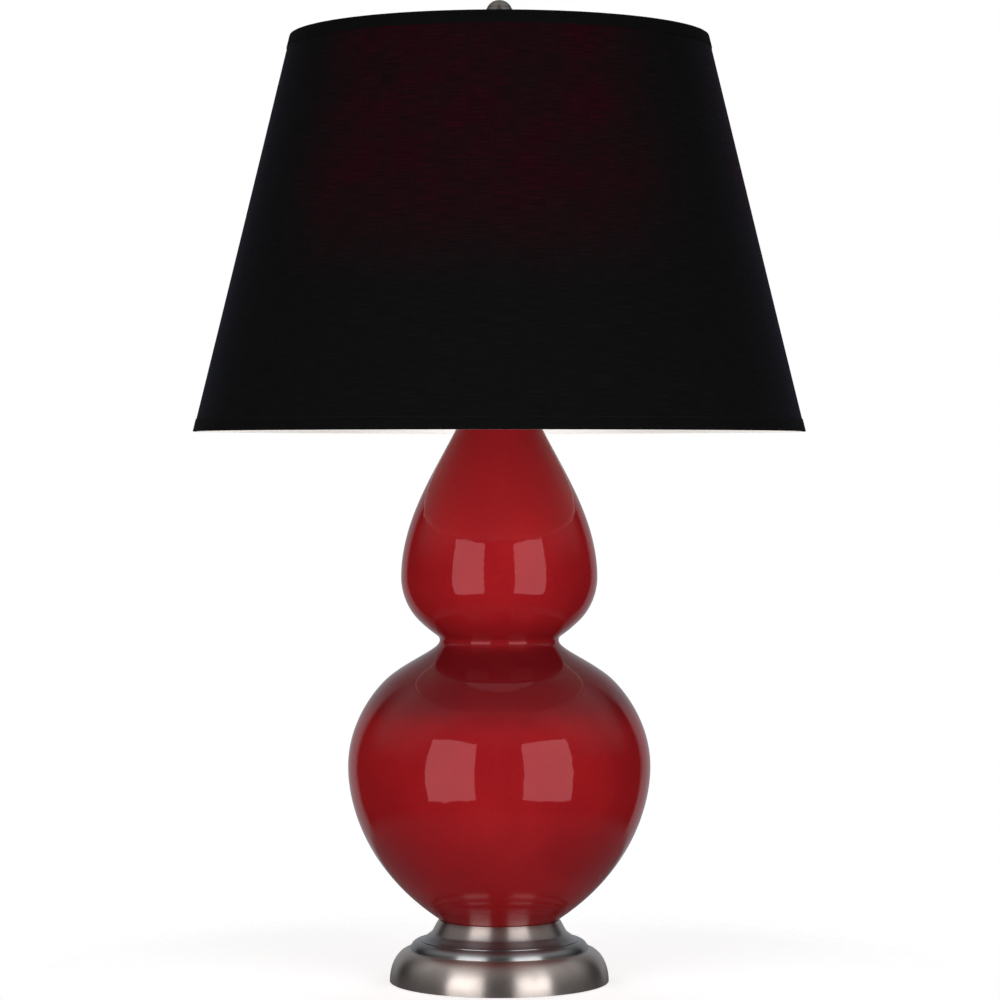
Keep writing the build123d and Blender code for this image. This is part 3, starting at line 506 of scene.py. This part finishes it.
def shade_cloth():
    """Near-black woven cloth with slubs. A painted glow stands for the bulb showing dark red through it:
    maroon colour and emission, from the middle height up and above all between the frame's three arms."""
    f = Finish(
        "black cloth", roughness=0.9, specular_ior_level=0.06,
        sheen_weight=0.025, sheen_roughness=0.35, sheen_tint=(0.35, 0.42, 1.0),
    )
    slub, warp = weave(f, 1500, 420)
    thread = slub.step(0.38, 0.72) * 0.75 + warp.step(0.35, 0.75) * 0.25
    # This phase puts the middles of the painted glow's lobes at 25, 145 and 265 degrees, and the last of them
    # is in front.
    arms, phase = 3, radians(285)
    glow_between_arms = ((f.angle() * arms + phase).math("COSINE") * 0.5 + 0.5).step(-0.05, 0.60)
    blotch = f.noise(26, 4, 0.6).step(0.28, 0.72)
    # lit is the painted glow: where the cloth is painted maroon and given emission.
    lit = glow_between_arms * f.height().step(*cloth_glow_fade) * (0.45 + blotch * 0.55)
    dark = f.colour((0.0016, 0.0015, 0.0015), (0.0044, 0.0042, 0.0042), thread)
    painted_glow_maroon = f.colour((0.0026, 0.0001, 0.0012), (0.0050, 0.0003, 0.0024), thread)
    f.drive(
        base_color=f.colour(dark, painted_glow_maroon, lit),
        emission_color=f.colour((0.0, 0.0, 0.0), (0.0185, 0.0, 0.0012), lit * (0.15 + thread * 0.95)),
        emission_strength=1.0,
    )
    f.bump(thread, 0.16 * MM, 0.7)
    return f.material


def shade_tape():
    """Black woven tape: close ribs and slubs. A lighter line is painted along the fold at the top rim and
    along the cut edge at the bottom one: a painted highlight where the edges catch the light."""
    f = Finish("black tape", roughness=0.92, specular_ior_level=0.06)
    slub, warp = weave(f, 1900, 900)
    thread = slub * 0.5 + warp * 0.5
    z = f.height()
    lower_half = z.step(0.60, 0.59)
    # Painted highlight: a lighter line along the top fold and along the bottom tape's cut edge.
    fold = z.step(shade_high - 0.7 * MM, shade_high + 0.1 * MM)
    cut_edge_highlight = lower_half * z.step(shade_low + 8.6 * MM, shade_low + 9.3 * MM)
    painted_edge_highlight = fold.math("MAXIMUM", cut_edge_highlight)
    black = f.colour((0.0016, 0.0015, 0.0017), (0.0044, 0.0040, 0.0045), thread.step(0.35, 0.7))
    f.drive(base_color=f.colour(black, (0.008, 0.0075, 0.008), painted_edge_highlight * (0.4 + slub * 0.5)))
    f.bump(thread, 0.2 * MM, 0.7)
    return f.material


def bulb_light():
    """Frosted glass, lit: brightest over the filament, a little warmer and dimmer towards the cap."""
    f = Finish("lit frosted glass", roughness=0.35)
    frost = f.noise(900, 2)
    glow = f.height().step(*bulb_fade) * (0.9 + frost * 0.1)
    f.drive(
        base_color=f.colour((0.50, 0.48, 0.44), (0.56, 0.54, 0.50), frost),
        emission_color=f.colour((0.55, 0.38, 0.20), (1.0, 0.80, 0.52), glow),
        emission_strength=0.32,
    )
    f.bump(frost, 0.03 * MM, 0.3)
    return f.material


def clear_glass():
    """Clear drawn glass with faint streaks."""
    f = Finish("clear glass", transmission_weight=1.0, ior=1.5)
    streak = f.noise(1.0, 2, at=f.stretched(700, 700, 40))
    f.drive(
        base_color=f.colour((0.90, 0.94, 0.92), (0.97, 0.98, 0.97), streak),
        roughness=0.03 + streak * 0.05,
    )
    return f.material


finishes = {
    "base_metal": pewter(),
    "red_glaze": red_glaze(),
    "shade_cloth": shade_cloth(),
    "frosted_glass": bulb_light(),
    "plate_steel": satin_metal(
        "rolled steel", (0.42, 0.42, 0.43), (0.26, 0.25, 0.25), roughness=0.36, grain=(0.15, 1, 1)
    ),
    "felt": felt(),
    "weight_iron": cast_iron(),
    "zinc_steel": satin_metal(
        "zinc-plated steel", (0.66, 0.66, 0.69), (0.48, 0.49, 0.50), roughness=0.30
    ),
    "brass_plain": satin_metal(
        "machined brass", (0.80, 0.60, 0.27), (0.58, 0.41, 0.17), roughness=0.22, grain=(1, 1, 4)
    ),
    "bushing_plastic": moulded("bushing plastic", (0.012, 0.012, 0.012), roughness=0.38),
    "gasket_rubber": moulded("gasket rubber", (0.011, 0.011, 0.011), roughness=0.62, grain=0.5),
    "harp_metal": satin_metal(
        "aged harp metal", (0.42, 0.37, 0.33), (0.27, 0.235, 0.205), roughness=0.28, grain=(1, 1, 0.3)
    ),
    "brass_socket": satin_metal(
        "rolled socket brass", (0.76, 0.57, 0.28), (0.55, 0.39, 0.17), roughness=0.26, grain=(1, 1, 6)
    ),
    "liner_card": card("liner card", (0.34, 0.25, 0.16), (0.21, 0.14, 0.08), gloss=0.2),
    "socket_phenolic": moulded("phenolic", (0.012, 0.010, 0.009), roughness=0.30),
    "screw_shell_metal": satin_metal(
        "rolled screw shell", (0.78, 0.78, 0.79), (0.60, 0.59, 0.57), roughness=0.24
    ),
    "knob_plastic": moulded("knob plastic", (0.010, 0.009, 0.008), roughness=0.22, grain=0.15),
    "bulb_insulator_glass": moulded("black glass", (0.010, 0.010, 0.012), roughness=0.08, grain=0.1),
    "bulb_cap_metal": satin_metal(
        "rolled bulb cap", (0.80, 0.80, 0.81), (0.62, 0.61, 0.59), roughness=0.24
    ),
    "clear_glass": clear_glass(),
    "filament_wire": satin_metal(
        "filament wire", (0.34, 0.34, 0.36), (0.20, 0.20, 0.21), roughness=0.4
    ),
    # The white lining has a faint painted glow.
    "shade_lining_card": card("white lining", (0.84, 0.82, 0.79), (0.76, 0.74, 0.69), gloss=0.25, glow=0.07),
    "shade_wire": enamel_wire(),
    "shade_trim": shade_tape(),
}
# The turn-in has a strong painted glow, so that it reads white.
painted_lit_rim = card("white turn-in", (0.88, 0.87, 0.85), (0.84, 0.82, 0.79), gloss=0.25, glow=0.45)

for part in frame["record"]["subparts"]:
    mesh = nodes[part["node"]].data
    mesh.materials.clear()
    mesh.materials.append(finishes[part["material_slot"]])

# ---------------------------------------------------------------- the shade's cloth
# Depths from the cloth's face, negative inwards: just past the frame's wire, and at the lining's face.
rim_inside, wall_inside = -4.56 * MM, -1.4 * MM
# How far the tapes reach up and down the wall. The black and the white one butt at the bottom rim.
tape_depth, top_turned_in = 9.5 * MM, 1.6 * MM
lining_turned_in, butted = 4.4 * MM, 0.1 * MM

cloth = dress(shade_cloth_piece(), "shade", finishes["shade_cloth"], "shade_cloth", "shade_fabric")
top_tape = tape_piece("top_tape", shade_high, 1, tape_thickness, rim_inside, tape_depth, top_turned_in)
bottom_tape = tape_piece("bottom_tape", shade_low, -1, tape_thickness, wall_inside, tape_depth, butted)
lining_turn = tape_piece(
    "lining_turn", shade_low, -1, wall_inside - tape_thickness, rim_inside, butted, lining_turned_in
)
dress(top_tape, "shade", finishes["shade_trim"], "shade_trim", "top_trim")
dress(bottom_tape, "shade", finishes["shade_trim"], "shade_trim", "bottom_trim")
dress(seam_strip(), "shade", finishes["shade_cloth"], "shade_cloth", "back_seam")
dress(lining_turn, "shade", painted_lit_rim, "shade_lining_card")


# ---------------------------------------------------------------- the base's felt
def felt_disc():
    """The round of felt under the base: its face is a little uneven and its cut edge is slightly rounded."""
    (_, _, low), (edge, _, high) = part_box("base_felt")
    middle, face_rows, edge_rows, back_rows, segments = 0.5 * MM, 60, 3, 20, 256
    outline = [
        *evenly((middle, low), (edge, low), face_rows),
        *evenly((edge, low), (edge, high), edge_rows),
        *evenly((edge, high), (middle, high), back_rows),
    ]
    lift, tuft, edge_cut, face_skin, edge_width = 0.12 * MM, 0.10 * MM, 0.25 * MM, 0.3 * MM, 1 * MM

    def relief(angle, radius, height):
        nap = tuft * np.sin(31 * angle + 900 * radius) * np.sin(1300 * radius + 5 * angle)
        under = height < low + face_skin
        inner = radius < edge - edge_width
        return radius - edge_cut * under * ~inner, height + (lift + nap) * under * inner

    return turned("felt_disc", outline, segments, relief)


felt_round = dress(felt_disc(), "root", finishes["felt"], "felt", "base_felt")

# ---------------------------------------------------------------- the bulb's thread
# The bulb's cap and the shell it screws into have the same rolled thread, seven turns to the inch.
bulb_pitch, bulb_thread = 25.4 / 7 * MM, 0.7 * MM
cap_wall, shell_wall = 0.5 * MM, 0.6 * MM

(_, _, cap_low), (cap_radius, _, cap_high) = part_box("bulb_cap")
throat = reach("bulb_cap", cap_low)
cap_side = cap_low + cap_radius - throat
cap_outline = [
    (throat, cap_low),
    (cap_radius, cap_side),
    (cap_radius, cap_high),
    (cap_radius - cap_wall, cap_high),
    (cap_radius - cap_wall, cap_side + cap_wall),
    (throat, cap_low + 2 * cap_wall),
]
threaded_cap = threaded(
    "threaded_cap", cap_outline, cap_side + 0.5 * MM, cap_high - 2.5 * MM, bulb_pitch, bulb_thread
)
dress(threaded_cap, "bulb", finishes["bulb_cap_metal"], "bulb_cap_metal", "bulb_cap")

(_, _, shell_low), (shell_outside, _, shell_high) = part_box("screw_shell")
shell_bore = shell_outside - shell_wall
shell_outline = [
    (shell_bore, shell_low),
    (shell_outside, shell_low),
    (shell_outside, shell_high),
    (shell_bore, shell_high),
]
rolled_shell = threaded(
    "rolled_screw_shell", shell_outline, shell_low + 2 * MM, shell_high - 0.5 * MM, bulb_pitch, bulb_thread
)
dress(rolled_shell, "root", finishes["screw_shell_metal"], "screw_shell_metal", "screw_shell")


# ---------------------------------------------------------------- studio
def soft_box(name, azimuth, distance, middle, power):
    """An upright rectangle of light that faces the lamp's axis. Azimuth 0 is in front and 90 to the right."""
    light = bpy.data.lights.new(name, "AREA")
    light.shape = "RECTANGLE"
    light.size, light.size_y, light.energy = 0.95, 1.35, power
    lamp = bpy.data.objects.new(name, light)
    turn = radians(azimuth)
    lamp.location = (distance * sin(turn), -distance * cos(turn), middle)
    lamp.rotation_euler = (radians(90), 0, turn)
    lamp.visible_camera = False
    bpy.context.scene.collection.objects.link(lamp)
    return lamp


for side, way in (("left", -1), ("right", 1)):
    front, back = 36.3 * way, 180 - 30.25 * way
    soft_box(f"soft_box_{side}", front, distance=1.4, middle=0.305, power=16.0)
    back_light = soft_box(f"back_light_{side}", back, distance=1.6, middle=0.45, power=12.0)
    back_light.visible_glossy = False


def studio_world():
    """White for the camera. What shines sees a pale backdrop behind the lamp, a pale ceiling and pale
    sides above it, and a dark room elsewhere."""
    world = bpy.data.worlds.new("studio")
    bpy.context.scene.world = world
    f = Nodes(world, "ShaderNodeOutputWorld")
    camera_ray = f.node("ShaderNodeLightPath")
    seen = camera_ray.math("MAXIMUM", camera_ray.other("Is Transmission Ray"))
    glossy, diffuse = camera_ray.other("Is Glossy Ray"), camera_ray.other("Is Diffuse Ray")
    across = f.node("ShaderNodeSeparateXYZ", {}, {0: f.node("ShaderNodeTexCoord").other("Generated")})
    ahead, up = across.other("Y"), across.other("Z")
    nearly_nothing = 0.0001
    level = ahead / (across * across + ahead * ahead + nearly_nothing).math("SQRT")
    backdrop = level.step(0.70, 0.80) * up.math("ABSOLUTE").step(0.70, 0.25)
    front = ahead.step(-0.5, -0.95)
    ceiling = up.step(0.32, 0.70)
    sides = (1.0 - ahead.math("ABSOLUTE")).step(0.35, 0.75) * up.step(0.05, 0.40)
    room = 0.015 + backdrop * 0.40 + front * 0.03 + ceiling * 0.30 + sides * 0.40
    strength = seen + glossy * room + diffuse * 0.025
    tone = f.colour((1.0, 1.0, 1.0), (0.93, 0.95, 1.0), glossy * backdrop)
    f.show(f.node("ShaderNodeBackground", {}, {"Color": tone, "Strength": strength}))


studio_world()


def floor():
    """A pale round floor that fades out at its rim and is clear from below."""
    rim, middle, rings, segments = 0.44, 0.0005, 24, 96
    outline = [(radius, 0.0) for radius in np.linspace(rim, middle, rings)]
    piece = turned("floor", outline, segments, closed=False)
    f = Finish("pale floor", roughness=0.9, specular_ior_level=0.1)
    camera_ray = f.node("ShaderNodeLightPath")
    f.drive(
        base_color=f.colour((0.35, 0.35, 0.37), (0.76, 0.76, 0.76), camera_ray),
        emission_color=(1.0, 1.0, 1.0),
        emission_strength=camera_ray * 0.63,
    )
    clear = f.node("ShaderNodeBsdfTransparent")
    below = f.node("ShaderNodeNewGeometry").other("Backfacing")
    hidden = f.radius().step(0.30, 0.42).math("MAXIMUM", below)
    f.show(f.node("ShaderNodeMixShader", {}, {0: hidden, 1: f.shader, 2: clear}))
    piece.data.materials.append(f.material)


floor()

camera = bpy.data.objects.new("camera", bpy.data.cameras.new("camera"))
camera.data.sensor_width, camera.data.lens = 36.0, 118.8
camera.data.shift_y = -0.0458
camera.location = (0.0006, -2.650, 0.4227)
camera.rotation_euler = (radians(90), 0, 0)
bpy.context.scene.collection.objects.link(camera)
bpy.context.scene.camera = camera
bpy.context.scene.view_settings.view_transform = "Standard"
